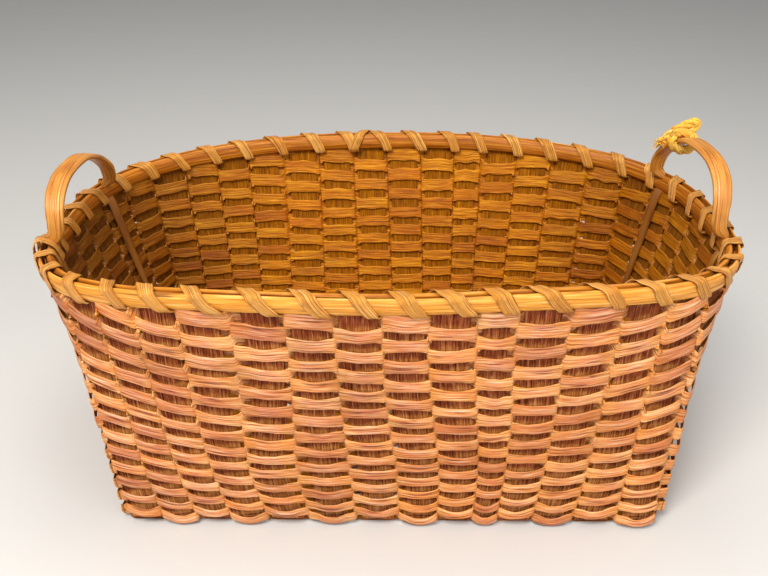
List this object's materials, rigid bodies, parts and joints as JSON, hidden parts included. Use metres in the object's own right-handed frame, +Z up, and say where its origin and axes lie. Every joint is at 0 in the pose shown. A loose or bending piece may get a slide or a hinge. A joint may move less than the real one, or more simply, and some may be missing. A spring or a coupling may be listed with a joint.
{
  "type": "splint basket",
  "caption": "Open woven splint basket with a rectangular base, walls flaring to an oval lashed rim, two bentwood ear handles and a short rope tied round one handle.",
  "frame": {"origin": "on the surface the basket stands on, under the middle of its overall outline", "axes": "+X along the basket's length, -Y out of the front wall, +Z up"},
  "size_m": [0.5254, 0.3246, 0.2601],
  "materials": {
    "stake_splint": "dry split wood, dark reddish brown",
    "weaver_splint": "dry split wood, tan",
    "rim_hoop_wood": "smooth worn wood",
    "lashing_splint": "fine ribbed splint",
    "handle_wood": "smooth worn bentwood",
    "rope_fibre": "coarse twisted plant fibre"
  },
  "bodies": {
    "root": {"cross_splint_01": "stake_splint", "cross_splint_02": "stake_splint", "cross_splint_03": "stake_splint", "cross_splint_04": "stake_splint", "cross_splint_05": "stake_splint", "cross_splint_06": "stake_splint", "cross_splint_07": "stake_splint", "cross_splint_08": "stake_splint", "cross_splint_09": "stake_splint", "cross_splint_10": "stake_splint", "cross_splint_11": "stake_splint", "cross_splint_12": "stake_splint", "cross_splint_13": "stake_splint", "cross_splint_14": "stake_splint", "long_splint_01": "stake_splint", "long_splint_02": "stake_splint", "long_splint_03": "stake_splint", "long_splint_04": "stake_splint", "long_splint_05": "stake_splint", "long_splint_06": "stake_splint", "long_splint_07": "stake_splint", "long_splint_08": "stake_splint", "weaver_row_01": "weaver_splint", "weaver_row_02": "weaver_splint", "weaver_row_03": "weaver_splint", "weaver_row_04": "weaver_splint", "weaver_row_05": "weaver_splint", "weaver_row_06": "weaver_splint", "weaver_row_07": "weaver_splint", "weaver_row_08": "weaver_splint", "weaver_row_09": "weaver_splint", "weaver_row_10": "weaver_splint", "weaver_row_11": "weaver_splint", "weaver_row_12": "weaver_splint", "weaver_row_13": "weaver_splint", "weaver_row_14": "weaver_splint", "weaver_row_15": "weaver_splint", "weaver_row_16": "weaver_splint", "weaver_row_17": "weaver_splint", "weaver_row_18": "weaver_splint", "weaver_row_19": "weaver_splint", "weaver_row_20": "weaver_splint", "weaver_row_21": "weaver_splint", "weaver_row_22": "weaver_splint", "weaver_row_23": "weaver_splint", "weaver_row_24": "weaver_splint", "weaver_row_25": "weaver_splint", "rim_hoop_outer": "rim_hoop_wood", "rim_hoop_inner": "rim_hoop_wood", "rim_lashing": "lashing_splint", "handle_left": "handle_wood", "handle_right": "handle_wood", "rope_tie": "rope_fibre"}
  },
  "joints": []
}
